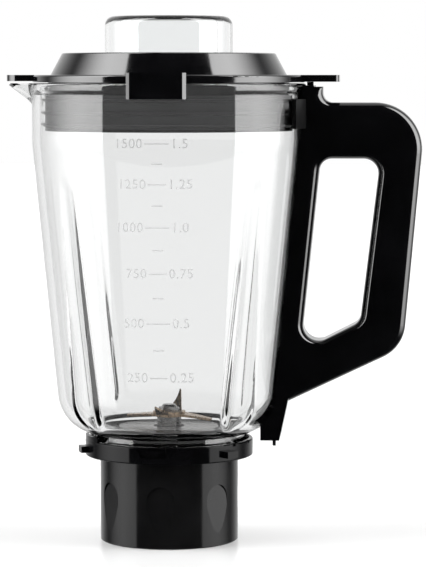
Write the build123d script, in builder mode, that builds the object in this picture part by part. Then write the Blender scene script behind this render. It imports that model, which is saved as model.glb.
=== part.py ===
from build123d import *
import os
from math import cos, radians, sin, sqrt, tan

# Jug attachment of a countertop blender. The axis of the jar is Z, the foot of
# the skirt stands on Z = 0, the handle points to +X, the spout to -X and the
# scale faces -Y. All sizes are in millimetres.

os.makedirs("parts", exist_ok=True)

# ---- driving dimensions -------------------------------------------------------
# skirt and collar
SKIRT_R = 36.0
SKIRT_WALL = 2.6
SKIRT_TOP = 44.7
PLATE_T = 3.0
GRIP_COUNT = 7
GRIP_FIRST = -92.3
ARCH_R = 7.2
COLLAR_R = 43.8
COLLAR_BORE_R = 41.8
COLLAR_TOP = 53.6
COLLAR_FLOOR_T = 2.0
LUG_REACH = 3.8
LUG_SIZE = (7.3, 3.4)
LUG_AZIMUTHS = (-41.7, -161.7, 78.3)
# blade bearing
BARREL_R = 15.8
BARREL_BOTTOM = 26.0
PEDESTAL_R = 34.8
DECK_R = 27.0
DECK_Z = 54.8
PLATE_TOP = 56.0
BUSH_LENGTH = 10.0
BUSH_R = 8.0
SHAFT_R = 4.0
RUNNING_GAP = 0.03
SEAT = 6.0
# jar
NECK_R = 39.6
WALL = 4.0
GASKET_T = 2.2
ROUND_R = 22.0
ROUND_Z = 78.0
LEAN = 5.6
BAND_R = 70.8
TAPER_TOP = 207.0
RIM_TOP = 238.0
BEAD_H = 4.2
BEAD_T = 0.6
SPOUT_TIP = 84.8
FLUTE_TOP = 178.0
FLUTE_DEPTH = 4.2
# three-start thread between neck and collar
LEAD = 24.0
STARTS = 3
THREAD_SECTOR = 18.0
THREAD_H = 3.4
THREAD_GAP_SECTOR = 4.5
# lid
LID_TOP = 253.5
LID_R = 70.5
FLANGE_Z = 238.5
FLANGE_TOP = 242.3
LID_SKIN = 2.8
PLUG_R = 62.6
PLUG_BOTTOM = 213.7
TAB_W = 29.7
TAB_T = 2.9
TAB_H = 13.0
TAB_FOOT = 230.3
# measuring cap
CAP_R = 33.0
CAP_TOP = 272.5
TUBE_R = 25.6
TUBE_BOTTOM = 231.0
# handle
SPINE_W = 28.0
SPINE_T = 5.0
SPINE_TOP = 236.9
SPINE_FOOT = 53.8
HANDLE_W = 26.0
EDGE_R = 5.2
ROD_R = 0.9
ROD_OFFSET = 1.3
ROD_UPRIGHT_X = 73.0
STROKE = 4.4

# ---- sizes worked out from them -----------------------------------------------
lean_rad = radians(LEAN)
floor_top = SKIRT_TOP + COLLAR_FLOOR_T
neck_bottom = floor_top + 0.05 + GASKET_T + 0.05
round_end_z = ROUND_Z - ROUND_R * sin(lean_rad)
round_end_r = BAND_R - (TAPER_TOP - round_end_z) * tan(lean_rad)
round_centre_r = round_end_r - ROUND_R * cos(lean_rad)


def wall_r(z):
    """Outer radius of the jar's tapered wall at height z."""
    return BAND_R - (TAPER_TOP - z) * tan(lean_rad)


def jar_solid(inset, foot, bead=0.0):
    """Round jar body without flutes or spout, shrunk by inset; bead thickens the rim."""
    arc_r = ROUND_R - inset
    neck = NECK_R - inset
    band = BAND_R - inset
    start = (neck, ROUND_Z - sqrt(arc_r**2 - (neck - round_centre_r) ** 2))
    middle_angle = radians(-48)
    middle = (
        round_centre_r + arc_r * cos(middle_angle),
        ROUND_Z + arc_r * sin(middle_angle),
    )
    end = (
        round_centre_r + arc_r * cos(lean_rad),
        ROUND_Z - arc_r * sin(lean_rad),
    )
    band_start = end[1] + (band - end[0]) / tan(lean_rad)
    with BuildPart() as body:
        with BuildSketch(Plane.XZ):
            with BuildLine():
                Polyline((0, foot), (neck, foot), start)
                ThreePointArc(start, middle, end)
                if bead:
                    Polyline(
                        end,
                        (band, band_start),
                        (band, RIM_TOP - BEAD_H - bead),
                        (band + bead, RIM_TOP - BEAD_H),
                        (band + bead, RIM_TOP),
                        (0, RIM_TOP),
                        (0, foot),
                    )
                else:
                    Polyline(end, (band, band_start), (band, RIM_TOP), (0, RIM_TOP), (0, foot))
            make_face()
        revolve(axis=Axis.Z)
    return body.part


def flute_cutter(extra):
    """Leaning cone that dents the jar wall; extra widens it for the inner ridge."""
    foot_z, head_z = 58.0, 188.0
    low_r, high_r = 10.5, 6.0
    ref_z = 76.0

    def axis_r(z):
        radius = low_r + (high_r - low_r) * (z - foot_z) / (head_z - foot_z)
        depth = FLUTE_DEPTH * (FLUTE_TOP - z) / (FLUTE_TOP - ref_z)
        return wall_r(z) + radius - depth

    foot = Vector(axis_r(foot_z), 0, foot_z)
    head = Vector(axis_r(head_z), 0, head_z)
    with BuildPart() as cutter:
        with BuildSketch(Plane(origin=foot, x_dir=(0, 1, 0), z_dir=head - foot)):
            Circle(low_r + extra)
        with BuildSketch(Plane(origin=head, x_dir=(0, 1, 0), z_dir=head - foot)):
            Circle(high_r + extra)
        loft()
    return cutter.part


def spout_solid(shrink, sink):
    """Spout swelling out of the rim towards -X; shrink and sink give its channel."""
    tip_r, root_r = 9.0 - shrink, 24.0 - shrink
    rise = 13.5 - sink
    top_tip = SPOUT_TIP - 9.0
    with BuildPart() as spout:
        for height, tip_x in ((RIM_TOP - rise, 58.0), (RIM_TOP, top_tip)):
            with BuildSketch(Plane.XY.offset(height)):
                with BuildLine():
                    CenterArc((-tip_x, 0), tip_r, 0, 360)
                    CenterArc((-42.0, 0), root_r, 0, 360)
                make_hull()
        loft()
    return spout.part


def thread_band(inner_r, outer_r, base_z, start_angle):
    """One helical rib of the three-start thread, rising counter-clockwise."""
    with BuildSketch(Plane.XY.offset(base_z), mode=Mode.PRIVATE) as sector:
        with BuildLine():
            outer = CenterArc((0, 0), outer_r, start_angle, THREAD_SECTOR)
            inner = CenterArc((0, 0), inner_r, start_angle, THREAD_SECTOR)
            Line(outer @ 0, inner @ 0)
            Line(outer @ 1, inner @ 1)
        make_face()
    turn = 360 * THREAD_H / LEAD
    return Solid.extrude_linear_with_rotation(
        sector.sketch.face(), (0, 0, base_z), (0, 0, THREAD_H), turn
    )


# ---- base: skirt, collar and blade bearing ---------------------------------------
SCREW_CIRCLE_R = 24.0
SCREW_R = 1.75

with BuildPart() as base_skirt:
    with BuildSketch():
        Circle(SKIRT_R)
    extrude(amount=SKIRT_TOP)
    with BuildSketch():
        Circle(SKIRT_R - SKIRT_WALL)
    extrude(amount=SKIRT_TOP - PLATE_T, mode=Mode.SUBTRACT)
    with Locations((0, 0, SKIRT_TOP)):
        Hole(BARREL_R + 0.1)
    with PolarLocations(SCREW_CIRCLE_R, 4, start_angle=45):
        Hole(SCREW_R + 0.15)
    for index in range(GRIP_COUNT):
        azimuth = GRIP_FIRST + index * 360 / GRIP_COUNT
        facet = Plane(
            origin=(
                (SKIRT_R - 1.3) * cos(radians(azimuth)),
                (SKIRT_R - 1.3) * sin(radians(azimuth)),
                32.0,
            ),
            x_dir=(-sin(radians(azimuth)), cos(radians(azimuth)), 0),
            z_dir=(
                cos(radians(azimuth)) * cos(radians(3)),
                sin(radians(azimuth)) * cos(radians(3)),
                sin(radians(3)),
            ),
        )
        with BuildSketch(facet):
            with Locations((0, -ARCH_R)):
                Circle(ARCH_R)
            with Locations((0, -ARCH_R - 12)):
                Rectangle(2 * ARCH_R, 24.0)
        extrude(amount=4, mode=Mode.SUBTRACT)
    with PolarLocations(SKIRT_R - SKIRT_WALL - 1.2, 8, start_angle=22.5):
        with Locations((0, 0, 18)):
            Box(3.2, 1.8, SKIRT_TOP - PLATE_T - 18, align=(Align.CENTER, Align.CENTER, Align.MIN))
    chamfer(base_skirt.edges().group_by(Axis.Z)[0], 0.5)
base_skirt.part.label = "base_skirt"
export_step(base_skirt.part, "parts/base_skirt.step")

with BuildPart() as base_collar:
    with BuildSketch(Plane.XZ):
        with BuildLine():
            Polyline(
                (BARREL_R + 0.1, SKIRT_TOP),
                (COLLAR_R, SKIRT_TOP),
                (COLLAR_R, COLLAR_TOP),
                (COLLAR_BORE_R, COLLAR_TOP),
                (COLLAR_BORE_R, floor_top),
                (BARREL_R + 0.1, floor_top),
                close=True,
            )
        make_face()
    revolve(axis=Axis.Z)
    fillet(base_collar.edges().group_by(Axis.Z)[-1].sort_by(SortBy.RADIUS)[-1], 0.9)
    fillet(base_collar.edges().group_by(Axis.Z)[0].sort_by(SortBy.RADIUS)[-1], 0.7)
    for azimuth in LUG_AZIMUTHS:
        with Locations(Location((0, 0, 48.7), (0, 0, azimuth))):
            with Locations((COLLAR_R + LUG_REACH / 2 - 0.4, 0, 0)):
                Box(LUG_REACH + 0.8, *LUG_SIZE)
    with PolarLocations(SCREW_CIRCLE_R, 4, start_angle=45):
        Hole(SCREW_R + 0.15)
    # index rib on the top edge, on the spout side
    with BuildSketch(Plane.XY.offset(COLLAR_TOP - 1.0)):
        with BuildLine():
            rib_out = CenterArc((0, 0), COLLAR_R - 0.1, -175, 32)
            rib_in = CenterArc((0, 0), COLLAR_BORE_R + 0.2, -175, 32)
            Line(rib_out @ 0, rib_in @ 0)
            Line(rib_out @ 1, rib_in @ 1)
        make_face()
    extrude(amount=3.2)
    # trapezoid window with a raised tongue, at the front
    window = Plane(
        origin=(COLLAR_R * cos(radians(-96)), COLLAR_R * sin(radians(-96)), 50.5),
        x_dir=(-sin(radians(-96)), cos(radians(-96)), 0),
        z_dir=(cos(radians(-96)), sin(radians(-96)), 0),
    )
    with BuildSketch(window.offset(-1.5)):
        Trapezoid(17.5, 5.0, 65, rotation=180)
    extrude(amount=3, mode=Mode.SUBTRACT)
    with BuildSketch(window.offset(-1.6)):
        Trapezoid(8.0, 2.6, 65, rotation=180)
    extrude(amount=1.0)
    for azimuth in (-35.5, -15.3):
        with Locations(Location((0, 0, COLLAR_TOP - 0.4), (0, 0, azimuth))):
            with Locations((COLLAR_R, 0, 0)):
                Box(2.0, 2.6, 2.0, mode=Mode.SUBTRACT)
    for index in range(STARTS):
        add(thread_band(COLLAR_BORE_R - 1.7, COLLAR_BORE_R + 0.3, 49.6, index * 360 / STARTS))
base_collar.part.label = "base_collar"
export_step(base_collar.part, "parts/base_collar.step")

upper_bush_z = DECK_Z - 2.0 - BUSH_LENGTH
with BuildPart() as bearing_housing:
    with BuildSketch(Plane.XZ):
        with BuildLine():
            Polyline(
                (6.0, BARREL_BOTTOM + 1),
                (BUSH_R, BARREL_BOTTOM + 1),
                (BUSH_R, BARREL_BOTTOM),
                (BARREL_R, BARREL_BOTTOM),
                (BARREL_R, floor_top),
                (PEDESTAL_R, floor_top),
                (PEDESTAL_R, 50.8),
                (DECK_R + 1.0, DECK_Z),
                (BUSH_R, DECK_Z),
                (BUSH_R, upper_bush_z),
                (6.0, upper_bush_z),
                close=True,
            )
        make_face()
    revolve(axis=Axis.Z)
    with BuildSketch(Plane.XY.offset(BARREL_BOTTOM)):
        Circle(BUSH_R)
    extrude(amount=BUSH_LENGTH, mode=Mode.SUBTRACT)
    with BuildSketch(Plane.XY.offset(floor_top)):
        with PolarLocations(SCREW_CIRCLE_R, 4, start_angle=45):
            Circle(SCREW_R)
    extrude(amount=6, mode=Mode.SUBTRACT)
bearing_housing.part.label = "bearing_housing"
export_step(bearing_housing.part, "parts/bearing_housing.step")

with BuildPart() as blade_plate:
    with BuildSketch(Plane.XY.offset(DECK_Z)):
        Circle(DECK_R)
        Circle(BUSH_R + 0.2, mode=Mode.SUBTRACT)
    extrude(amount=PLATE_TOP - DECK_Z)
    fillet(blade_plate.edges().group_by(Axis.Z)[-1].sort_by(SortBy.RADIUS)[-1], 0.8)
blade_plate.part.label = "blade_plate"
export_step(blade_plate.part, "parts/blade_plate.step")

for name, bottom in (("bearing_lower", BARREL_BOTTOM), ("bearing_upper", upper_bush_z)):
    with BuildPart() as bush:
        with BuildSketch(Plane.XY.offset(bottom)):
            Circle(BUSH_R)
            Circle(SHAFT_R + RUNNING_GAP, mode=Mode.SUBTRACT)
        extrude(amount=BUSH_LENGTH)
    bush.part.label = name
    export_step(bush.part, f"parts/{name}.step")

with BuildPart() as shaft_seal:
    with BuildSketch(Plane.XY.offset(DECK_Z - 2.0)):
        Circle(BUSH_R)
        Circle(SHAFT_R + RUNNING_GAP, mode=Mode.SUBTRACT)
    extrude(amount=3.0)
    chamfer(shaft_seal.edges().group_by(Axis.Z)[-1].sort_by(SortBy.RADIUS)[-1], 0.8)
shaft_seal.part.label = "shaft_seal"
export_step(shaft_seal.part, "parts/shaft_seal.step")

with BuildPart() as base_screws:
    head_z = SKIRT_TOP - PLATE_T
    with BuildSketch(Plane.XY.offset(head_z)):
        with PolarLocations(SCREW_CIRCLE_R, 4, start_angle=45):
            Circle(3.2)
    extrude(amount=-2.4)
    with BuildSketch(Plane.XY.offset(head_z - 0.5)):
        with PolarLocations(SCREW_CIRCLE_R, 4, start_angle=45):
            Circle(SCREW_R - 0.05)
    extrude(amount=10.5)
    with BuildSketch(Plane.XY.offset(head_z - 2.4)):
        with PolarLocations(SCREW_CIRCLE_R, 4, start_angle=45):
            Rectangle(3.6, 0.8)
            Rectangle(0.8, 3.6)
    extrude(amount=1.2, mode=Mode.SUBTRACT)
base_screws.part.label = "base_screws"
export_step(base_screws.part, "parts/base_screws.step")

# ---- rotating set -------------------------------------------------------------------
HUB_Z = 62.0
HUB_R = 6.4
BLADE_T = 1.5
FOLD_R = 9.0
TIP_OFFSET = 1.6
lower_z = HUB_Z + 1.4
upper_z = lower_z + BLADE_T
nut_z = upper_z + BLADE_T
COUPLING_TOP = 24.4

with BuildPart() as drive_shaft:
    with BuildSketch(Plane.XY.offset(14.0)):
        Circle(SHAFT_R)
    extrude(amount=HUB_Z - 14.0)
    with BuildSketch(Plane.XY.offset(HUB_Z - 0.1)):
        Rectangle(SEAT, SEAT)
        Circle(SHAFT_R, mode=Mode.INTERSECT)
    extrude(amount=nut_z - HUB_Z + 0.1)
    with BuildSketch(Plane.XY.offset(nut_z - 0.1)):
        Circle(2.9)
    extrude(amount=3.1)
drive_shaft.part.label = "drive_shaft"
export_step(drive_shaft.part, "parts/drive_shaft.step")

with BuildPart() as blade_hub:
    with BuildSketch(Plane.XY.offset(PLATE_TOP + 0.2)):
        Circle(HUB_R)
        Circle(SHAFT_R, mode=Mode.SUBTRACT)
    extrude(amount=HUB_Z - PLATE_TOP - 0.2)
    with BuildSketch(Plane.XY.offset(HUB_Z)):
        Circle(HUB_R)
        Rectangle(SEAT + 0.1, SEAT + 0.1, mode=Mode.SUBTRACT)
    extrude(amount=lower_z - HUB_Z)
blade_hub.part.label = "blade_hub"
export_step(blade_hub.part, "parts/blade_hub.step")


def blade_part(base_z, turn, lifts, reach, root_w, tip_w, bow):
    """Two-winged blade: a flat hub disc and two wings, bent by lifts degrees and curved by bow."""
    with BuildPart() as blade:
        with BuildSketch(Plane.XY.offset(base_z)):
            Circle(8.5)
            Rectangle(2 * FOLD_R, root_w)
        extrude(amount=BLADE_T)
        for facing, lift in ((1, lifts[0]), (-1, lifts[1])):
            tilt = radians(lift)
            start = -BLADE_T / 2 if lift < 0 else 0
            wing = Plane(
                origin=(facing * FOLD_R, 0, base_z),
                x_dir=(facing * cos(tilt), 0, sin(tilt)),
                z_dir=(-facing * sin(tilt), 0, cos(tilt)),
            )
            with BuildSketch(wing):
                with BuildLine():
                    straight = Line((start, -root_w / 2), (reach, -TIP_OFFSET - tip_w))
                    end = Line(straight @ 1, (reach, -TIP_OFFSET))
                    middle = (reach / 2, root_w / 4 - bow)
                    curved = ThreePointArc(end @ 1, middle, (start, root_w / 2))
                    Line(curved @ 1, straight @ 0)
                make_face()
            extrude(amount=BLADE_T)
        with BuildSketch(Plane.XY.offset(base_z)):
            Rectangle(SEAT + 0.1, SEAT + 0.1, rotation=-turn)
        extrude(amount=BLADE_T, mode=Mode.SUBTRACT)
    return blade.part.rotate(Axis.Z, turn)


blade_lower = blade_part(lower_z, -9.0, (-8.0, -8.0), 14.5, 10.0, 3.0, 0.5)
blade_lower.label = "blade_lower"
export_step(blade_lower, "parts/blade_lower.step")

blade_upper = blade_part(upper_z, 81.0, (52.0, 24.0), 14.5, 9.4, 0.6, 2.4)
blade_upper.label = "blade_upper"
export_step(blade_upper, "parts/blade_upper.step")

with BuildPart() as blade_nut:
    with BuildSketch(Plane.XY.offset(nut_z)):
        RegularPolygon(radius=5.4, side_count=6)
    extrude(amount=3.2)
    with BuildSketch(Plane.XY.offset(nut_z + 3.2)):
        Circle(4.2)
    extrude(amount=1.4, taper=35)
    with BuildSketch(Plane.XY.offset(nut_z)):
        Circle(2.95)
    extrude(amount=3.1, mode=Mode.SUBTRACT)
blade_nut.part.label = "blade_nut"
export_step(blade_nut.part, "parts/blade_nut.step")

with BuildPart() as thrust_washer:
    with BuildSketch(Plane.XY.offset(COUPLING_TOP)):
        Circle(7.0)
        Circle(SHAFT_R + 0.02, mode=Mode.SUBTRACT)
    extrude(amount=BARREL_BOTTOM - COUPLING_TOP - 0.2)
thrust_washer.part.label = "thrust_washer"
export_step(thrust_washer.part, "parts/thrust_washer.step")

with BuildPart() as drive_coupling:
    with BuildSketch(Plane.XY.offset(7.0)):
        Circle(13.5)
    extrude(amount=COUPLING_TOP - 7.0)
    fillet(drive_coupling.edges().group_by(Axis.Z)[-1], 1.5)
    with BuildSketch(Plane.XY.offset(7.0)):
        Circle(7.6)
        with PolarLocations(8.0, 6):
            Rectangle(6.0, 3.6)
    extrude(amount=9.0, mode=Mode.SUBTRACT)
    with BuildSketch(Plane.XY.offset(14.0)):
        Circle(SHAFT_R)
    extrude(amount=12.0, mode=Mode.SUBTRACT)
drive_coupling.part.label = "drive_coupling"
export_step(drive_coupling.part, "parts/drive_coupling.step")

# ---- gasket and jar -------------------------------------------------------------------
with BuildPart() as jar_gasket:
    with BuildSketch(Plane.XY.offset(floor_top + 0.05)):
        Circle(NECK_R + 0.3)
        Circle(PEDESTAL_R + 0.5, mode=Mode.SUBTRACT)
    extrude(amount=GASKET_T)
jar_gasket.part.label = "jar_gasket"
export_step(jar_gasket.part, "parts/jar_gasket.step")

jar_outside = jar_solid(0.0, neck_bottom, BEAD_T)
jar_inside = jar_solid(WALL, neck_bottom - 5)
outer_flute = flute_cutter(0.0)
inner_flute = flute_cutter(WALL)
spout_shell = spout_solid(0.0, 0.0)
spout_channel = spout_solid(WALL, 3.0)

with BuildPart() as jar_cavity:
    add(jar_inside)
    with PolarLocations(0, 4, start_angle=45):
        add(inner_flute, mode=Mode.SUBTRACT)
    add(spout_channel)

with BuildPart() as glass_jar:
    add(jar_outside)
    with PolarLocations(0, 4, start_angle=45):
        add(outer_flute, mode=Mode.SUBTRACT)
    add(spout_shell)
    add(jar_cavity.part, mode=Mode.SUBTRACT)
    for index in range(STARTS):
        band_angle = index * 360 / STARTS + THREAD_SECTOR + THREAD_GAP_SECTOR
        add(thread_band(NECK_R - 0.3, NECK_R + 1.7, 49.6, band_angle))
glass_jar.part.label = "glass_jar"
export_step(glass_jar.part, "parts/glass_jar.step")

# ---- handle ---------------------------------------------------------------------------
spine_band = BAND_R + SPINE_T
spine_low_z = round_end_z


def along_wall(offset, z):
    """Point in the XZ plane at offset outside the tapered wall, at height z."""
    return (wall_r(z) + offset, z)


rod_low = along_wall(ROD_OFFSET, 58.6)
rod_bend = (ROD_UPRIGHT_X, TAPER_TOP)
rod_high = (ROD_UPRIGHT_X, 231.0)
rod_slope = (rod_bend[0] - rod_low[0]) / (rod_bend[1] - rod_low[1])


def rod_point(z):
    """Point on the leaning run of the interlock rod at height z."""
    return (rod_low[0] + (z - rod_low[1]) * rod_slope, z)


def rod_shape(radius, bottom, top):
    """Bent round rod: a leaning run and an upright run with a ball at the bend."""
    lean_plane = Plane(
        origin=(bottom[0], 0, bottom[1]),
        x_dir=(0, 1, 0),
        z_dir=(rod_bend[0] - bottom[0], 0, rod_bend[1] - bottom[1]),
    )
    length = sqrt((rod_bend[0] - bottom[0]) ** 2 + (rod_bend[1] - bottom[1]) ** 2)
    with BuildPart() as rod:
        with BuildSketch(lean_plane):
            Circle(radius)
        extrude(amount=length)
        with Locations((rod_bend[0], 0, rod_bend[1])):
            Sphere(radius)
        with BuildSketch(Plane(origin=(rod_bend[0], 0, rod_bend[1]))):
            Circle(radius)
        extrude(amount=top[1] - rod_bend[1])
    return rod.part


BUTTON = (3.3, 8.0)
button_x = 73.45
BUTTON_TOP = FLANGE_Z + 0.25
FOOT_BLOCK = (57.4, 60.0)
PIN_X = 55.0
PIN_R = 0.9
SPRING_Z = (176.0, 190.0)
spring_low = rod_point(SPRING_Z[0])
spring_high = rod_point(SPRING_Z[1])

with BuildPart() as clamp_upper:
    with BuildSketch(Plane.XY.offset(215.0)):
        with BuildLine():
            saddle_out = CenterArc((0, 0), BAND_R + 2.2, -23, 46)
            saddle_in = CenterArc((0, 0), BAND_R, -23, 46)
            Line(saddle_out @ 0, saddle_in @ 0)
            Line(saddle_out @ 1, saddle_in @ 1)
        make_face()
    extrude(amount=15.0)
    with Locations((button_x, 0, 222.5)):
        Box(2 * (button_x - BAND_R) + 2, 4.2, 16, mode=Mode.SUBTRACT)
clamp_upper.part.label = "clamp_upper"
export_step(clamp_upper.part, "parts/clamp_upper.step")

jar_blank = jar_solid(0.0, neck_bottom, BEAD_T)
rod_channel = rod_shape(ROD_R + 0.45, rod_point(FOOT_BLOCK[0]), (ROD_UPRIGHT_X, 240.0))

with BuildPart() as clamp_lower:
    with BuildSketch(Plane.XZ):
        with BuildLine():
            Polyline(
                along_wall(-6.0, 84.0),
                along_wall(2.6, 84.0),
                along_wall(2.6, 100.0),
                along_wall(-6.0, 100.0),
                close=True,
            )
        make_face()
    extrude(amount=SPINE_W / 2 - 3, both=True)
    add(jar_blank, mode=Mode.SUBTRACT)
    with Locations((wall_r(92.0), 0, 92.0)):
        Box(14, 4.4, 30, mode=Mode.SUBTRACT)
clamp_lower.part.label = "clamp_lower"
export_step(clamp_lower.part, "parts/clamp_lower.step")

SCREW_Y = 9.0
UPPER_SCREW_Z = 209.0
LOWER_SCREW_Z = 88.0
upper_head_x = BAND_R + 0.9
lower_head_x = wall_r(LOWER_SCREW_Z) + 3.1
screw_sites = [
    (x, y, z)
    for x, z in ((upper_head_x, UPPER_SCREW_Z), (lower_head_x, LOWER_SCREW_Z))
    for y in (-SCREW_Y, SCREW_Y)
]


def screw_set(head_r, head_t, shank_r, shank_length, lead_in):
    """Four screws along +X; lead_in lengthens the heads towards the glass."""
    with BuildPart() as screws:
        for x, y, z in screw_sites:
            with BuildSketch(Plane.YZ.offset(x - lead_in)):
                with Locations((y, z)):
                    Circle(head_r)
            extrude(amount=head_t + lead_in)
            with BuildSketch(Plane.YZ.offset(x)):
                with Locations((y, z)):
                    Circle(shank_r)
            extrude(amount=shank_length)
    return screws.part


handle_screws = screw_set(2.5, 1.3, 1.4, 12.5, 0.0)
handle_screws.label = "handle_screws"
export_step(handle_screws, "parts/handle_screws.step")
screw_holes = screw_set(2.6, 1.35, 1.45, 13.0, 8.0)

with BuildPart() as handle_spine:
    with BuildSketch(Plane.XZ):
        with BuildLine():
            FilletPolyline(
                (48.4, SPINE_FOOT),
                (58.2, SPINE_FOOT),
                (round_end_r + SPINE_T, spine_low_z),
                (spine_band, TAPER_TOP),
                (spine_band, SPINE_TOP),
                (BAND_R - 8.0, SPINE_TOP),
                (48.4, 70.0),
                radius=(0, 0, 12.0, 60.0, 0, 0, 0),
                close=True,
            )
        make_face()
    extrude(amount=SPINE_W / 2, both=True)
    add(jar_blank, mode=Mode.SUBTRACT)
    add(clamp_upper.part, mode=Mode.SUBTRACT)
    add(clamp_lower.part, mode=Mode.SUBTRACT)
    add(rod_channel, mode=Mode.SUBTRACT)
    add(screw_holes, mode=Mode.SUBTRACT)
    with Locations((ROD_UPRIGHT_X + 0.2, 0, (TAPER_TOP + 226.0) / 2)):
        Box(2 * ROD_R + 1.5, 2 * ROD_R + 1.1, 226.0 - TAPER_TOP + 8, mode=Mode.SUBTRACT)
    # pocket of the button, wider than the button's sideways drift on its way up
    with BuildSketch(Plane.XY.offset(226.0)):
        with Locations((button_x + 0.25, 0)):
            Rectangle(BUTTON[0] + 1.1, BUTTON[1] + 0.8)
    extrude(amount=20, mode=Mode.SUBTRACT)
    # cavity of the rod's foot and its pin
    with BuildSketch(Plane.XY.offset(SPINE_FOOT - 1)):
        with Locations((PIN_X + 0.3, 0)):
            Rectangle(2 * PIN_R + 1.4, 2 * PIN_R + 1.0)
    extrude(amount=14, mode=Mode.SUBTRACT)
    with BuildSketch(Plane.XY.offset(FOOT_BLOCK[0] - 0.8)):
        with Locations(((PIN_X + rod_low[0]) / 2 + 0.1, 0)):
            Rectangle(rod_low[0] - PIN_X + 3.0, 5.2)
    extrude(amount=FOOT_BLOCK[1] - FOOT_BLOCK[0] + STROKE + 1.6, mode=Mode.SUBTRACT)
handle_spine.part.label = "handle_spine"
export_step(handle_spine.part, "parts/handle_spine.step")

gap_corners = ((79.0, 199.4), (109.6, 199.4), (99.6, 115.4), (68.8, 99.6))
GRIP_COVER_T = 4.0
GRIP_COVER_W = 16.0
cover_corners = (
    (108.6, 190.0),
    (108.6 + GRIP_COVER_T, 190.0),
    (100.7 + GRIP_COVER_T, 124.0),
    (100.7, 124.0),
)


with BuildPart() as handle_grip:
    with BuildSketch(Plane.XZ):
        with BuildLine():
            FilletPolyline(
                (spine_band + 4.3, 236.3),
                (spine_band + 4.3, 228.2),
                (133.3, 228.2),
                (121.9, 102.0),
                (50.0, 67.8),
                (50.0, 236.3),
                radius=(0, 5.0, 24.0, 20.0, 0, 0),
                close=True,
            )
        make_face()
        with BuildLine():
            FilletPolyline(*gap_corners, radius=(6.5, 7.5, 7.0, 8.0), close=True)
        make_face(mode=Mode.SUBTRACT)
    extrude(amount=HANDLE_W / 2, both=True)
    fillet(handle_grip.faces().filter_by(Axis.Y).edges(), EDGE_R)
    # everything on the glass side of the parting line belongs to the spine
    with BuildSketch(Plane.XZ):
        with BuildLine():
            FilletPolyline(
                (45.0, 60.0),
                along_wall(SPINE_T, 60.0),
                (spine_band, TAPER_TOP),
                (spine_band, 240.0),
                (45.0, 240.0),
                radius=(0, 0, 60.0, 0, 0),
                close=True,
            )
        make_face()
    extrude(amount=HANDLE_W, both=True, mode=Mode.SUBTRACT)
    add(rod_channel, mode=Mode.SUBTRACT)
    add(screw_holes, mode=Mode.SUBTRACT)
    with BuildSketch(Plane.XZ):
        with BuildLine():
            Polyline(*cover_corners, close=True)
        make_face()
    extrude(amount=GRIP_COVER_W / 2, both=True, mode=Mode.SUBTRACT)
handle_grip.part.label = "handle_grip"
export_step(handle_grip.part, "parts/handle_grip.step")

with BuildPart() as grip_cover:
    with BuildSketch(Plane.XZ):
        with BuildLine():
            Polyline(*cover_corners, close=True)
        make_face()
        with BuildLine():
            FilletPolyline(*gap_corners, radius=(6.5, 7.5, 7.0, 8.0), close=True)
        make_face(mode=Mode.SUBTRACT)
    extrude(amount=GRIP_COVER_W / 2, both=True)
grip_cover.part.label = "grip_cover"
export_step(grip_cover.part, "parts/grip_cover.step")

# ---- interlock rod under the lid's handle tab --------------------------------------------
with BuildPart() as interlock_button:
    with BuildSketch(Plane.XY.offset(230.0)):
        with Locations((button_x, 0)):
            RectangleRounded(*BUTTON, 0.6)
    extrude(amount=BUTTON_TOP - 230.0)
    with BuildSketch(Plane.XY.offset(230.0)):
        with Locations((rod_high[0], 0)):
            Circle(ROD_R)
    extrude(amount=1.0, mode=Mode.SUBTRACT)
interlock_button.part.label = "interlock_button"
export_step(interlock_button.part, "parts/interlock_button.step")

interlock_rod = rod_shape(ROD_R, rod_low, rod_high)
interlock_rod.label = "interlock_rod"
export_step(interlock_rod, "parts/interlock_rod.step")

with BuildPart() as interlock_foot:
    with BuildSketch(Plane.XY.offset(FOOT_BLOCK[0])):
        with Locations(((PIN_X + rod_low[0]) / 2, 0)):
            Rectangle(rod_low[0] - PIN_X + 1.8, 4.4)
    extrude(amount=FOOT_BLOCK[1] - FOOT_BLOCK[0])
    with BuildSketch(Plane.XY.offset(SPINE_FOOT - STROKE)):
        with Locations((PIN_X, 0)):
            Circle(PIN_R)
    extrude(amount=FOOT_BLOCK[0] - SPINE_FOOT + STROKE + 1)
    add(interlock_rod, mode=Mode.SUBTRACT)
interlock_foot.part.label = "interlock_foot"
export_step(interlock_foot.part, "parts/interlock_foot.step")

SPRING_WIRE_R = 0.16
SPRING_TURNS = 7
spring_length = sqrt((spring_high[0] - spring_low[0]) ** 2 + (SPRING_Z[1] - SPRING_Z[0]) ** 2)
spring_axis = (spring_high[0] - spring_low[0], 0, SPRING_Z[1] - SPRING_Z[0])
with BuildPart() as interlock_spring:
    with BuildLine():
        coil = Helix(
            pitch=spring_length / SPRING_TURNS,
            height=spring_length,
            radius=ROD_R + 0.22,
            center=(spring_low[0], 0, spring_low[1]),
            direction=spring_axis,
        )
    with BuildSketch(Plane(origin=coil @ 0, z_dir=coil % 0)):
        Circle(SPRING_WIRE_R)
    sweep(path=coil, is_frenet=True)
interlock_spring.part.label = "interlock_spring"
export_step(interlock_spring.part, "parts/interlock_spring.step")

# ---- lid ------------------------------------------------------------------------------------
GUIDE_R = TUBE_R + 0.6
CONE_TOP_R = 55.2
CONE_FOOT_R = 61.2

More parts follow.
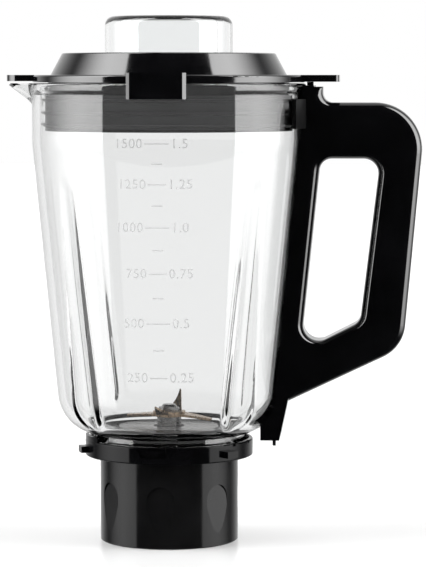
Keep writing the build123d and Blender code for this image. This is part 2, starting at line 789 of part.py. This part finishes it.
with BuildPart() as lid_cover:
    with BuildSketch(Plane.XZ):
        with BuildLine():
            Polyline(
                (GUIDE_R, LID_TOP),
                (CONE_TOP_R, LID_TOP),
                (CONE_FOOT_R, FLANGE_TOP),
                (LID_R, FLANGE_TOP),
                (LID_R, FLANGE_Z),
                (PLUG_R - 2.6, FLANGE_Z),
                (PLUG_R - 2.6, FLANGE_TOP - 0.6),
                (CONE_TOP_R - 2.4, LID_TOP - LID_SKIN),
                (GUIDE_R + 2.2, LID_TOP - LID_SKIN),
                (GUIDE_R + 2.2, FLANGE_Z),
                (GUIDE_R, FLANGE_Z),
                close=True,
            )
        make_face()
    revolve(axis=Axis.Z)
    outer_rims = lid_cover.edges().filter_by(GeomType.CIRCLE).filter_by(
        lambda e: e.radius > CONE_TOP_R - 0.1 and e.center().Z > FLANGE_Z + 1
    )
    fillet(outer_rims.sort_by(SortBy.RADIUS)[-1], 1.2)
    fillet(outer_rims.filter_by(lambda e: e.center().Z > LID_TOP - 0.1), 1.0)
    # tabs at the front and the back hang over the jar's rim
    for side in (-1, 1):
        tab_y = side * (BAND_R + BEAD_T + 0.4)
        half, bevel = TAB_W / 2, 1.7
        with BuildSketch(Plane.XY.offset(TAB_FOOT)):
            with BuildLine():
                Polyline(
                    (-half, tab_y),
                    (-half, tab_y + side * (TAB_T - bevel)),
                    (bevel - half, tab_y + side * TAB_T),
                    (half - bevel, tab_y + side * TAB_T),
                    (half, tab_y + side * (TAB_T - bevel)),
                    (half, tab_y),
                    close=True,
                )
            make_face()
        extrude(amount=TAB_H)
        with Locations((0, side * 68.5, 240.7)):
            Box(TAB_W - 1.0, 9.0, 4.2)
    # tab over the interlock button
    with BuildSketch(Plane.XY.offset(FLANGE_Z + 0.3)):
        with Locations((75.5, 0)):
            RectangleRounded(26.0, 24.0, 3.0)
    extrude(amount=FLANGE_TOP - FLANGE_Z - 0.3)
    # tab over the spout
    with BuildSketch(Plane.XY.offset(FLANGE_Z + 0.6)):
        with Locations((-71.6, 0)):
            RectangleRounded(24.4, 26.0, 8.0)
    extrude(amount=FLANGE_TOP - FLANGE_Z - 0.6)
lid_cover.part.label = "lid_cover"
export_step(lid_cover.part, "parts/lid_cover.step")

with BuildPart() as lid_plug:
    with BuildSketch(Plane.XZ):
        with BuildLine():
            Polyline(
                (PLUG_R - 2.6, PLUG_BOTTOM),
                (PLUG_R + 1.6, PLUG_BOTTOM),
                (PLUG_R + 1.6, PLUG_BOTTOM + 1.4),
                (PLUG_R, PLUG_BOTTOM + 1.4),
                (PLUG_R, FLANGE_Z),
                (PLUG_R - 2.6, FLANGE_Z),
                close=True,
            )
        make_face()
    revolve(axis=Axis.Z)
lid_plug.part.label = "lid_plug"
export_step(lid_plug.part, "parts/lid_plug.step")

SEAL_LIPS = (216.5, 222.6, 229.3)
with BuildPart() as lid_seal:
    with BuildSketch(Plane.XZ):
        with Locations((PLUG_R + 0.7, (PLUG_BOTTOM + 1.4 + 232.0) / 2)):
            Rectangle(1.4, 232.0 - PLUG_BOTTOM - 1.4)
        for lip_z in SEAL_LIPS:
            with BuildLine():
                Polyline(
                    (PLUG_R + 1.2, lip_z - 0.9),
                    (BAND_R - WALL - 0.4, lip_z + 0.3),
                    (BAND_R - WALL - 0.4, lip_z + 0.8),
                    (PLUG_R + 1.2, lip_z + 0.9),
                    close=True,
                )
            make_face()
    revolve(axis=Axis.Z)
lid_seal.part.label = "lid_seal"
export_step(lid_seal.part, "parts/lid_seal.step")

# ---- measuring cap ---------------------------------------------------------------------------
CAP_WALL = 2.4
with BuildPart() as measuring_cap:
    with BuildSketch(Plane.XZ):
        with BuildLine():
            Polyline(
                (0, CAP_TOP),
                (CAP_R, CAP_TOP),
                (CAP_R, LID_TOP + 0.1),
                (CAP_R - CAP_WALL, LID_TOP + 0.1),
                (CAP_R - CAP_WALL, CAP_TOP - CAP_WALL),
                (TUBE_R, CAP_TOP - CAP_WALL),
                (TUBE_R, TUBE_BOTTOM),
                (TUBE_R - 2.0, TUBE_BOTTOM),
                (TUBE_R - 2.0, CAP_TOP - CAP_WALL),
                (0, CAP_TOP - CAP_WALL),
                close=True,
            )
        make_face()
    revolve(axis=Axis.Z)
    fillet(measuring_cap.edges().group_by(Axis.Z)[-1], 4.6)
measuring_cap.part.label = "measuring_cap"
export_step(measuring_cap.part, "parts/measuring_cap.step")
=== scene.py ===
from math import asin, cos, pi, radians, sin, sqrt, tan

import bmesh
import bpy
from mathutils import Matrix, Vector


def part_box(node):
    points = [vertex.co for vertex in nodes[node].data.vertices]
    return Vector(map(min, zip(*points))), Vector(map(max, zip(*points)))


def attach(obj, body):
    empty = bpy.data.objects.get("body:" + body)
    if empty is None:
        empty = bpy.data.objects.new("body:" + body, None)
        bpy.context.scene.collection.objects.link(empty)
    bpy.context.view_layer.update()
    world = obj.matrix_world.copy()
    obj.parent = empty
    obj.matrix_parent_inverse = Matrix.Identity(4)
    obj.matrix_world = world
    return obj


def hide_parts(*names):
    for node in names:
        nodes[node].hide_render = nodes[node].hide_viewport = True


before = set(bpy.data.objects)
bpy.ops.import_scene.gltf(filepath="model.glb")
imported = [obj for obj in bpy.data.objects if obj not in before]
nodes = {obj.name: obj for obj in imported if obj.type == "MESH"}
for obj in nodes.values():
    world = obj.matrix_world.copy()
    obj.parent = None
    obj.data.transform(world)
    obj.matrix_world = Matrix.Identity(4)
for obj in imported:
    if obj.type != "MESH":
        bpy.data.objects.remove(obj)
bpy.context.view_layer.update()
MM = 0.001

# ---- camera and light ---------------------------------------------------------------
VIEW_AZIMUTH = radians(5)
CAMERA_DISTANCE = 1.395
CAMERA_HEIGHT = 0.241
AIM_SIDE = 0.0229
AIM_HEIGHT = 0.1339
LENS = 170.4
FLAG_HALF_ANGLE = radians(56)
SOFTBOX_END = radians(125)

# ---- the jar's outside, read from the frame -------------------------------------------
jar_low, jar_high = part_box("glass_jar")
LEAN = radians(5.6)
TAPER_TOP = 0.207
BAND_R = 0.0708


def wall_r(z):
    """Outer radius of the tapered glass wall at height z."""
    return BAND_R - max(0.0, TAPER_TOP - z) * tan(LEAN)


# ---- material tools -------------------------------------------------------------------
class Nodes:
    """Small helper that builds one procedural material."""

    def __init__(self, name):
        self.material = bpy.data.materials.new(name)
        self.material.use_nodes = True
        self.tree = self.material.node_tree
        self.shader = self.tree.nodes["Principled BSDF"]
        self.place = self.tree.nodes.new("ShaderNodeTexCoord").outputs["Object"]

    def set(self, **values):
        for name, value in values.items():
            self.shader.inputs[name.replace("_", " ")].default_value = value
        return self

    def node(self, kind, **values):
        made = self.tree.nodes.new(kind)
        for name, value in values.items():
            made.inputs[name.replace("_", " ")].default_value = value
        return made

    def link(self, source, target):
        self.tree.links.new(source, target)

    def stretched(self, scale):
        mapping = self.tree.nodes.new("ShaderNodeMapping")
        mapping.inputs["Scale"].default_value = scale
        self.link(self.place, mapping.inputs["Vector"])
        return mapping.outputs["Vector"]

    def noise(self, scale, detail=3.0, rough=0.5, where=None):
        made = self.node("ShaderNodeTexNoise", Scale=scale, Detail=detail, Roughness=rough)
        self.link(where or self.place, made.inputs["Vector"])
        return made.outputs["Fac"]

    def ramp(self, source, low, high, start=0.35, end=0.65):
        """Maps source linearly from start..end to low..high."""
        made = self.node("ShaderNodeMapRange")
        made.inputs["From Min"].default_value = start
        made.inputs["From Max"].default_value = end
        made.inputs["To Min"].default_value = low
        made.inputs["To Max"].default_value = high
        self.link(source, made.inputs["Value"])
        return made.outputs["Result"]

    def mix(self, factor, first, second):
        made = self.tree.nodes.new("ShaderNodeMix")
        made.data_type = "RGBA"
        made.inputs["A"].default_value = (*first, 1)
        made.inputs["B"].default_value = (*second, 1)
        self.link(factor, made.inputs["Factor"])
        return made.outputs["Result"]

    def bump(self, layers):
        """Chains bump layers, each (height, strength, distance in metres)."""
        last = None
        for height, strength, distance in layers:
            made = self.node("ShaderNodeBump", Strength=strength, Distance=distance)
            self.link(height, made.inputs["Height"])
            if last:
                self.link(last, made.inputs["Normal"])
            last = made.outputs["Normal"]
        self.link(last, self.shader.inputs["Normal"])


def gloss_black(name, shine=0.5):
    m = Nodes(name)
    m.set(Specular_IOR_Level=shine, Coat_Weight=shine / 4, Coat_Roughness=0.04)
    smudge = m.noise(38, 4, 0.6)
    m.link(m.mix(m.ramp(smudge, 0, 1), (0.0012, 0.0012, 0.0014), (0.0026, 0.0026, 0.003)),
           m.shader.inputs["Base Color"])
    m.link(m.ramp(smudge, 0.06, 0.12), m.shader.inputs["Roughness"])
    m.bump([(m.noise(420, 2), 0.06, 0.00005)])
    return m.material


def satin_black(name, rough=(0.1, 0.16), tone=0.0035, grain=0.04):
    m = Nodes(name)
    m.set(Specular_IOR_Level=0.1)
    patch = m.noise(55, 4, 0.6)
    m.link(m.mix(m.ramp(patch, 0, 1), (tone, tone, tone * 1.05),
                 (tone * 1.5, tone * 1.5, tone * 1.55)), m.shader.inputs["Base Color"])
    m.link(m.ramp(patch, *rough), m.shader.inputs["Roughness"])
    m.bump([(m.noise(3200, 2, 0.6), grain, 0.00004), (m.noise(900, 2), grain / 2, 0.00003)])
    return m.material


def silicone(name):
    m = Nodes(name)
    m.set(Specular_IOR_Level=0.4, Sheen_Weight=0.15)
    patch = m.noise(80, 5, 0.65)
    m.link(m.mix(m.ramp(patch, 0, 1), (0.02, 0.02, 0.021), (0.036, 0.036, 0.038)),
           m.shader.inputs["Base Color"])
    m.link(m.ramp(patch, 0.45, 0.62), m.shader.inputs["Roughness"])
    m.bump([(m.noise(1500, 3), 0.25, 0.00004)])
    return m.material


def steel(name, dark, light, rough=(0.16, 0.34), brush=(18, 700, 700)):
    m = Nodes(name)
    m.set(Metallic=1.0)
    streak = m.noise(1.0, 6, 0.7, m.stretched(brush))
    m.link(m.mix(m.ramp(streak, 0, 1, 0.3, 0.7), dark, light), m.shader.inputs["Base Color"])
    m.link(m.ramp(streak, *rough), m.shader.inputs["Roughness"])
    m.bump([(streak, 0.22, 0.00003)])
    return m.material


def bronze(name):
    m = Nodes(name)
    m.set(Metallic=1.0)
    pores = m.noise(2600, 4, 0.7)
    m.link(m.mix(m.ramp(pores, 0, 1), (0.33, 0.2, 0.08), (0.62, 0.42, 0.2)),
           m.shader.inputs["Base Color"])
    m.link(m.ramp(pores, 0.3, 0.55), m.shader.inputs["Roughness"])
    m.bump([(pores, 0.3, 0.00004)])
    return m.material


def clear(name, tint, painted_edge_shade, painted_shade_start, shine, ior, waviness, smear):
    """Clear glass or plastic whose colour darkens where it is seen at a grazing angle: painted shade
    standing in for the dark surroundings seen through its outlines.
    """
    m = Nodes(name)
    m.set(Transmission_Weight=1.0, IOR=ior, Specular_IOR_Level=shine)
    facing = m.node("ShaderNodeLayerWeight", Blend=0.35)
    # painted shade: the colour runs from the tint to the dark outline colour as the surface turns
    # away from view
    m.link(m.mix(m.ramp(facing.outputs["Facing"], 0, 1, painted_shade_start, 1.0), tint, painted_edge_shade),
           m.shader.inputs["Base Color"])
    m.link(m.ramp(m.noise(45, 4, 0.6), 0.0, smear, 0.5, 0.75), m.shader.inputs["Roughness"])
    m.bump([(m.noise(34, 2), waviness, 0.0006)])
    return m.material


looks = {
    "gloss_black": gloss_black("gloss_black_moulded"),
    "satin_black": satin_black("satin_black_moulded"),
    "silicone": silicone("silicone_seal"),
    "pad": satin_black("rubber_pad", (0.32, 0.45), 0.003, 0.3),
    "steel": steel("brushed_steel", (0.2, 0.2, 0.2), (0.44, 0.43, 0.42)),
    "blade_steel": steel("ground_blade_steel", (0.26, 0.19, 0.13), (0.52, 0.39, 0.27),
                         (0.2, 0.38), (900, 60, 300)),
    "bronze": bronze("sintered_bronze"),
    # each clear material's second colour is painted shade along its outlines
    "jar_glass": clear("pressed_glass", (0.932, 0.936, 0.935), (0.05, 0.055, 0.055),
                       0.5, 0.13, 1.5, 0.03, 0.01),
    "clear_plastic": clear("clear_plastic_moulded", (0.97, 0.975, 0.975), (0.5, 0.51, 0.52),
                           0.85, 0.2, 1.47, 0.02, 0.03),
}
for node in nodes.values():
    for slot in node.material_slots:
        slot.material = looks[slot.material.name.split(".")[0]]
nodes["base_collar"].material_slots[0].material = gloss_black("collar_black_moulded", 0.07)


# ---- detailed glass jar: smooth flutes, poured spout and thread ---------------------------
WALL = 0.004
NECK_R = 0.0396
ROUND_R = 0.022
ROUND_Z = 0.078
RIM = jar_high.z
JAR_FOOT = jar_low.z
FLUTE_DEPTH = 0.0042
FLUTE_TOP = 0.178
FLUTE_SOFT = 0.0022
RIDGE_SOFT = 0.0035
SPOUT_RISE = 0.0135
SPOUT_SINK = 0.003
SPOUT_TIP_LOW = 0.058
SPOUT_TIP_HIGH = 0.0758
SPOUT_TIP_R = 0.009
SPOUT_ROOT_X = 0.042
SPOUT_ROOT_R = 0.024
SPOUT_HALF_ANGLE = 1.2
RIM_ROUND = 0.0009
round_end_r = BAND_R - (TAPER_TOP - (ROUND_Z - ROUND_R * sin(LEAN))) * tan(LEAN)
ROUND_CENTRE = round_end_r - ROUND_R * cos(LEAN)


def smooth_min(a, b, soft):
    h = max(soft - abs(a - b), 0.0) / soft
    return min(a, b) - h * h * soft * 0.25


def fillet_steps(centre, radius, start, end, count):
    return [(centre[0] + radius * cos(start + (end - start) * i / count),
             centre[1] + radius * sin(start + (end - start) * i / count)) for i in range(count + 1)]


def runs(points, step):
    """Divides straight runs between profile points into even steps."""
    out = [points[0]]
    for a, b in zip(points, points[1:]):
        length = sqrt((b[0] - a[0]) ** 2 + (b[1] - a[1]) ** 2)
        count = max(1, round(length / step))
        out += [(a[0] + (b[0] - a[0]) * i / count, a[1] + (b[1] - a[1]) * i / count)
                for i in range(1, count + 1)]
    return out


def flute_wall(angle, z, inset):
    """Radius of the dented wall inside a flute at this angle, or a large number outside."""
    foot_z, head_z, low_r, high_r, ref_z = 0.058, 0.188, 0.0105, 0.006, 0.076
    radius = low_r + (high_r - low_r) * (z - foot_z) / (head_z - foot_z)
    depth = FLUTE_DEPTH * (FLUTE_TOP - z) / (FLUTE_TOP - ref_z)
    axis = BAND_R - (TAPER_TOP - z) * tan(LEAN) + radius - depth
    nearest = min((abs((angle - pi / 4 - k * pi / 2 + pi) % (2 * pi) - pi) for k in range(4)))
    sideways = axis * sin(nearest)
    reach = radius + inset
    if z > head_z or z < foot_z - 0.004 or abs(sideways) >= reach or nearest > 0.6:
        return 1.0
    return axis * cos(nearest) - sqrt(reach * reach - sideways * sideways)


def spout_reach(angle, z, inset, sink):
    """Distance from the axis to the spout's outline at this angle, or 0 where it has none."""
    rise = SPOUT_RISE - sink
    part = (z - (RIM - rise)) / rise
    side = abs(angle % (2 * pi) - pi)
    if part < 0 or side > SPOUT_HALF_ANGLE:
        return 0.0
    tip_x = SPOUT_TIP_LOW + (SPOUT_TIP_HIGH - SPOUT_TIP_LOW) * part
    tip_r, root_r = SPOUT_TIP_R - inset, SPOUT_ROOT_R - inset
    span = tip_x - SPOUT_ROOT_X
    taper = asin((root_r - tip_r) / span)
    best = 0.0
    for centre, r in ((tip_x, tip_r), (SPOUT_ROOT_X, root_r)):
        under = r * r - (centre * sin(side)) ** 2
        if under >= 0:
            best = max(best, centre * cos(side) + sqrt(under))
    # straight flank that touches both circles
    hit = (sin(taper) * tip_x + tip_r) / (sin(taper) * cos(side) + cos(taper) * sin(side))
    along_flank = (hit * cos(side) - tip_x) * cos(taper) - hit * sin(side) * sin(taper)
    if -span * cos(taper) <= along_flank <= 0.0005:
        best = max(best, hit)
    return best


def thread_rise(angle, z):
    """How far the three helical ribs stand out of the neck."""
    best = 0.0
    for k in range(3):
        turned = (angle - radians(k * 120 + 22.5)) % (2 * pi)
        if turned > radians(18):
            continue
        middle = 0.0513 + 0.024 * turned / (2 * pi)
        best = max(best, 0.0017 * max(0.0, min(1.0, (0.0019 - abs(z - middle)) / 0.0005)))
    return best


def glass_profile(inset):
    """Half section of the round wall from the foot to the rim, shrunk by inset."""
    neck = NECK_R - inset
    arc = ROUND_R - inset
    start = -asin(sqrt(max(0.0, arc * arc - (neck - ROUND_CENTRE) ** 2)) / arc)
    if neck < ROUND_CENTRE:
        start = -pi - start
    bottom = fillet_steps((ROUND_CENTRE, ROUND_Z), arc, start, -LEAN, 26)
    band = BAND_R - inset
    band_z = bottom[-1][1] + (band - bottom[-1][0]) / tan(LEAN)
    neck_run = runs([(neck, JAR_FOOT), bottom[0]], 0.0005)
    side = runs([bottom[-1], (band, band_z)], 0.003)
    top = [(band, band_z), (band, RIM - 0.0048)]
    if not inset:
        bead = BAND_R + 0.0006
        top += [(bead, RIM - 0.0042), (bead, RIM - 0.0009)]
    else:
        top += [(band, RIM - 0.0009)]
    return neck_run[:-1] + bottom + side[1:] + runs(top, 0.0012)[1:]


AROUND = 432
outside, inside = glass_profile(0.0), glass_profile(WALL)


def glass_point(r, angle, z, inset):
    """Radius of the finished wall where the round wall has radius r."""
    if z > 0.0585 and r > 0.043:
        r = smooth_min(r, flute_wall(angle, z, inset), RIDGE_SOFT if inset else FLUTE_SOFT)
    if z < 0.0564 and not inset:
        r += thread_rise(angle, z)
    if z > 0.22:
        spout = spout_reach(angle, z, inset, SPOUT_SINK if inset else 0.0)
        r = -smooth_min(-r, -spout, 0.003) if spout > 0.05 else r
    return r


def glass_rows(profile, inset):
    angles = [2 * pi * i / AROUND for i in range(AROUND)]
    return [[(glass_point(r, a, z, inset), a, z) for a in angles] for r, z in profile]


# up the outside, over the rim and down the inside
rings = glass_rows(outside, 0.0)
rings.append([(r - RIM_ROUND, a, RIM) for r, a, z in rings[-1]])
inner_rings = glass_rows(inside[::-1], WALL)
rings.append([(r + RIM_ROUND, a, RIM) for r, a, z in inner_rings[0]])
rings += inner_rings
verts = [(r * cos(a), r * sin(a), z) for row in rings for r, a, z in row]
count = len(rings)
faces = []
for j in range(count):
    k = (j + 1) % count
    for i in range(AROUND):
        n = (i + 1) % AROUND
        faces.append((j * AROUND + i, j * AROUND + n, k * AROUND + n, k * AROUND + i))
jar_mesh = bpy.data.meshes.new("glass_jar_detailed")
jar_mesh.from_pydata(verts, [], faces)
jar_mesh.validate()
jar_mesh.polygons.foreach_set("use_smooth", [True] * len(jar_mesh.polygons))
jar_mesh.set_sharp_from_angle(angle=radians(50))
jar_mesh.materials.append(looks["jar_glass"])
jar_piece = bpy.data.objects.new("glass_jar_detailed", jar_mesh)
bpy.context.scene.collection.objects.link(jar_piece)
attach(jar_piece, "jug")
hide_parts("glass_jar")


# ---- scale on the front of the jar ------------------------------------------------------
def frosted_mark(name):
    m = Nodes(name)
    m.set(Transmission_Weight=0.85, IOR=1.3)
    speckle = m.noise(2600, 3, 0.6)
    m.link(m.mix(m.ramp(speckle, 0, 1), (0.8, 0.8, 0.8), (0.9, 0.9, 0.9)),
           m.shader.inputs["Base Color"])
    m.link(m.ramp(speckle, 0.35, 0.6), m.shader.inputs["Roughness"])
    m.bump([(speckle, 0.4, 0.00005)])
    return m.material


MARK_RELIEF = 0.00025


def wrap_on_wall(point):
    """Places a flat point (along, proud, up) on the front of the tapered wall."""
    along, proud, height = point
    r = wall_r(height) + proud
    return Vector((r * sin(along / r), -r * cos(along / r), height))


def bar(bm, left, right, height, thick):
    steps = 10
    loops = []
    for i in range(steps + 1):
        along = left + (right - left) * i / steps
        section = [(-thick / 2, -MARK_RELIEF), (-thick / 2, MARK_RELIEF),
                   (thick / 2, MARK_RELIEF), (thick / 2, -MARK_RELIEF)]
        loops.append([bm.verts.new(wrap_on_wall((along, proud, height + up)))
                      for up, proud in section])
    for a, b in zip(loops, loops[1:]):
        for j in range(4):
            bm.faces.new((a[j], a[(j + 1) % 4], b[(j + 1) % 4], b[j]))
    bm.faces.new(loops[0][::-1])
    bm.faces.new(loops[-1])


def numerals(bm, text, size, left, height, right_align=False):
    curve = bpy.data.curves.new("numeral_outline", "FONT")
    curve.body = text
    curve.size = size
    curve.space_character = 1.08
    curve.align_x = "RIGHT" if right_align else "LEFT"
    curve.align_y = "CENTER"
    curve.extrude = MARK_RELIEF
    curve.resolution_u = 5
    holder = bpy.data.objects.new("numeral_outline", curve)
    bpy.context.scene.collection.objects.link(holder)
    bpy.context.view_layer.update()
    flat = bpy.data.meshes.new_from_object(holder)
    placed = bmesh.new()
    placed.from_mesh(flat)
    for v in placed.verts:
        v.co = wrap_on_wall((v.co.x + left, v.co.z, v.co.y + height))
    placed.to_mesh(flat)
    placed.free()
    bm.from_mesh(flat)
    bpy.data.objects.remove(holder)
    bpy.data.meshes.remove(flat)
    bpy.data.curves.remove(curve)


TEXT_SIZE = 0.0068
LINE_T = 0.0006
TOP_LINE_Z = 0.2083
TOP_LINE_ML = 1500
MARK_STEP_ML = 125
FIRST_MARK_ML = 250
PLATE_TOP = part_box("blade_plate")[1].z


def inside_area(r, z):
    """Area inside the glass at height z, where the round wall has radius r."""
    steps = 120
    total = 0.0
    for i in range(steps):
        angle = 2 * pi * i / steps
        here = smooth_min(r, flute_wall(angle, z, WALL), RIDGE_SOFT) if r > 0.043 else r
        total += here * here * pi / steps
    return total


def line_heights():
    """Heights of the scale's lines: equal shares of the volume under the top line."""
    levels = [(r, z) for r, z in inside if PLATE_TOP < z <= TOP_LINE_Z]
    filled, below, volumes = 0.0, PLATE_TOP, []
    for r, z in levels + [(levels[-1][0], TOP_LINE_Z)]:
        filled += inside_area(r, z) * (z - below)
        below = z
        volumes.append((filled, z))
    heights = {}
    for millilitres in range(FIRST_MARK_ML, TOP_LINE_ML + 1, MARK_STEP_ML):
        target = filled * millilitres / TOP_LINE_ML
        last = (0.0, PLATE_TOP)
        for volume, z in volumes:
            if volume >= target * 0.999999:
                part = (target - last[0]) / max(volume - last[0], 1e-12)
                heights[millilitres] = last[1] + (z - last[1]) * min(1.0, part)
                break
            last = (volume, z)
    return heights


marks = bmesh.new()
for volume, height in line_heights().items():
    if volume % 250:
        bar(marks, -0.0028, 0.0028, height, LINE_T)
        continue
    half = 0.006 if volume % 500 == 0 else 0.0045
    bar(marks, -half, half, height, LINE_T)
    litres = f"{volume / 1000:g}"
    if "." not in litres:
        litres += ".0"
    numerals(marks, str(volume), TEXT_SIZE, -half - 0.001, height, right_align=True)
    numerals(marks, litres, TEXT_SIZE, half + 0.001, height)
scale_mesh = bpy.data.meshes.new("jar_scale")
marks.to_mesh(scale_mesh)
marks.free()
jar_scale = bpy.data.objects.new("jar_scale", scale_mesh)
bpy.context.scene.collection.objects.link(jar_scale)
scale_mesh.materials.append(frosted_mark("frosted_scale"))
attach(jar_scale, "jug")


# ---- floor, world and lamps ---------------------------------------------------------------
def floor_piece():
    bm = bmesh.new()
    bmesh.ops.create_grid(bm, x_segments=8, y_segments=8, size=6.0)
    mesh = bpy.data.meshes.new("floor")
    bm.to_mesh(mesh)
    bm.free()
    floor = bpy.data.objects.new("floor", mesh)
    floor.location.z = -0.0002
    bpy.context.scene.collection.objects.link(floor)
    m = Nodes("pale_floor")
    m.set(Specular_IOR_Level=0.42, Emission_Strength=0.12, Emission_Color=(1, 1, 1, 1))
    cloud = m.noise(3, 3)
    m.link(m.mix(m.ramp(cloud, 0, 1), (0.53, 0.53, 0.53), (0.55, 0.55, 0.55)),
           m.shader.inputs["Base Color"])
    m.link(m.ramp(cloud, 0.18, 0.2), m.shader.inputs["Roughness"])
    # mirrored in the gloss black parts the studio's lamps carry on below the table
    mirrored = m.tree.nodes.new("ShaderNodeBsdfTransparent")
    ray_kind = m.tree.nodes.new("ShaderNodeLightPath")
    blend = m.tree.nodes.new("ShaderNodeMixShader")
    only_mirrored = m.tree.nodes.new("ShaderNodeMath")
    only_mirrored.operation = "SUBTRACT"
    only_mirrored.use_clamp = True
    m.link(ray_kind.outputs["Is Glossy Ray"], only_mirrored.inputs[0])
    m.link(ray_kind.outputs["Is Transmission Ray"], only_mirrored.inputs[1])
    m.link(only_mirrored.outputs[0], blend.inputs[0])
    m.link(m.shader.outputs[0], blend.inputs[1])
    m.link(mirrored.outputs[0], blend.inputs[2])
    # through the glass it reads as the same pale backdrop as the rest of the studio
    pale = m.node("ShaderNodeEmission", Strength=1.0)
    clear_view = m.tree.nodes.new("ShaderNodeMixShader")
    m.link(ray_kind.outputs["Is Transmission Ray"], clear_view.inputs[0])
    m.link(blend.outputs[0], clear_view.inputs[1])
    m.link(pale.outputs[0], clear_view.inputs[2])
    m.link(clear_view.outputs[0], m.tree.nodes["Material Output"].inputs["Surface"])
    mesh.materials.append(m.material)
    return floor


floor_piece()

world = bpy.data.worlds.new("studio")
bpy.context.scene.world = world
world.use_nodes = True
tree = world.node_tree
background = tree.nodes["Background"]


def math_node(operation, first, second=None):
    made = tree.nodes.new("ShaderNodeMath")
    made.operation = operation
    for socket, value in zip(made.inputs, (first, second)):
        if value is None:
            continue
        if isinstance(value, (int, float)):
            socket.default_value = value
        else:
            tree.links.new(value, socket)
    return made.outputs[0]


def map_range(value, start, end, low, high):
    made = tree.nodes.new("ShaderNodeMapRange")
    made.interpolation_type = "SMOOTHSTEP"
    tree.links.new(value, made.inputs["Value"])
    for name, number in (("From Min", start), ("From Max", end), ("To Min", low), ("To Max", high)):
        made.inputs[name].default_value = number
    return made.outputs["Result"]


direction = tree.nodes.new("ShaderNodeTexCoord").outputs["Generated"]
split = tree.nodes.new("ShaderNodeSeparateXYZ")
tree.links.new(direction, split.inputs[0])
x, y, z = split.outputs
across = math_node("SQRT", math_node("ADD", math_node("MULTIPLY", x, x), math_node("MULTIPLY", y, y)))
along = math_node("ADD", math_node("MULTIPLY", x, sin(VIEW_AZIMUTH)),
                  math_node("MULTIPLY", y, -cos(VIEW_AZIMUTH)))
off_axis = math_node("ARCCOSINE", math_node("DIVIDE", along, math_node("MAXIMUM", across, 0.0001)))

SOFTBOX_LIGHT = 10.0
FRONT_LIGHT = 0.004
BACK_LIGHT = 0.9
box_rise = map_range(off_axis, FLAG_HALF_ANGLE, FLAG_HALF_ANGLE + radians(1.5), 0, 1)
box_fade = map_range(off_axis, radians(76), SOFTBOX_END, 1, 0)
box_top = map_range(z, 0.92, 0.99, 1, 0)
box_foot = map_range(z, -0.5, 0.1, 0, 1)
softbox = math_node("MULTIPLY", math_node("MULTIPLY", box_rise, box_fade),
                    math_node("MULTIPLY", box_top, box_foot))
back = map_range(off_axis, radians(110), radians(150), 0, 1)
structured = math_node("ADD", math_node("ADD", math_node("MULTIPLY", softbox, SOFTBOX_LIGHT),
                                        math_node("MULTIPLY", back, BACK_LIGHT)), FRONT_LIGHT)
ray = tree.nodes.new("ShaderNodeLightPath")
seen = ray.outputs["Is Camera Ray"]
through = math_node("MULTIPLY", ray.outputs["Is Transmission Ray"], math_node("SUBTRACT", 1.0, seen))
panel = math_node("MULTIPLY", map_range(z, 0.35, 0.7, 1, 0.12), map_range(z, -0.75, -0.4, 0.12, 1))
other = math_node("SUBTRACT", 1.0, math_node("MAXIMUM", seen, through))
strength = math_node("ADD", math_node("ADD", seen, math_node("MULTIPLY", through, panel)),
                     math_node("MULTIPLY", other, structured))
tree.links.new(strength, background.inputs["Strength"])
background.inputs["Color"].default_value = (1, 1, 1, 1)


def lamp(name, place, target, width, height, power):
    light = bpy.data.lights.new(name, "AREA")
    light.shape = "RECTANGLE"
    light.size, light.size_y = width, height
    light.energy = power
    made = bpy.data.objects.new(name, light)
    made.location = place
    made.rotation_euler = (Vector(target) - Vector(place)).to_track_quat("-Z", "Y").to_euler()
    made.visible_camera = False
    made.visible_transmission = False
    made.visible_glossy = False
    bpy.context.scene.collection.objects.link(made)


lamp("top_light", (0, 0.2, 1.6), (0, 0, 0.1), 1.6, 1.6, 3)

camera_data = bpy.data.cameras.new("camera")
camera_data.lens = LENS
camera_data.sensor_width = 36
camera = bpy.data.objects.new("camera", camera_data)
bpy.context.scene.collection.objects.link(camera)
camera.location = (CAMERA_DISTANCE * sin(VIEW_AZIMUTH), -CAMERA_DISTANCE * cos(VIEW_AZIMUTH),
                   CAMERA_HEIGHT)
aim = Vector((AIM_SIDE * cos(VIEW_AZIMUTH), AIM_SIDE * sin(VIEW_AZIMUTH), AIM_HEIGHT))
camera.rotation_euler = (aim - camera.location).to_track_quat("-Z", "Y").to_euler()
bpy.context.scene.camera = camera
bpy.context.scene.view_settings.view_transform = "Standard"
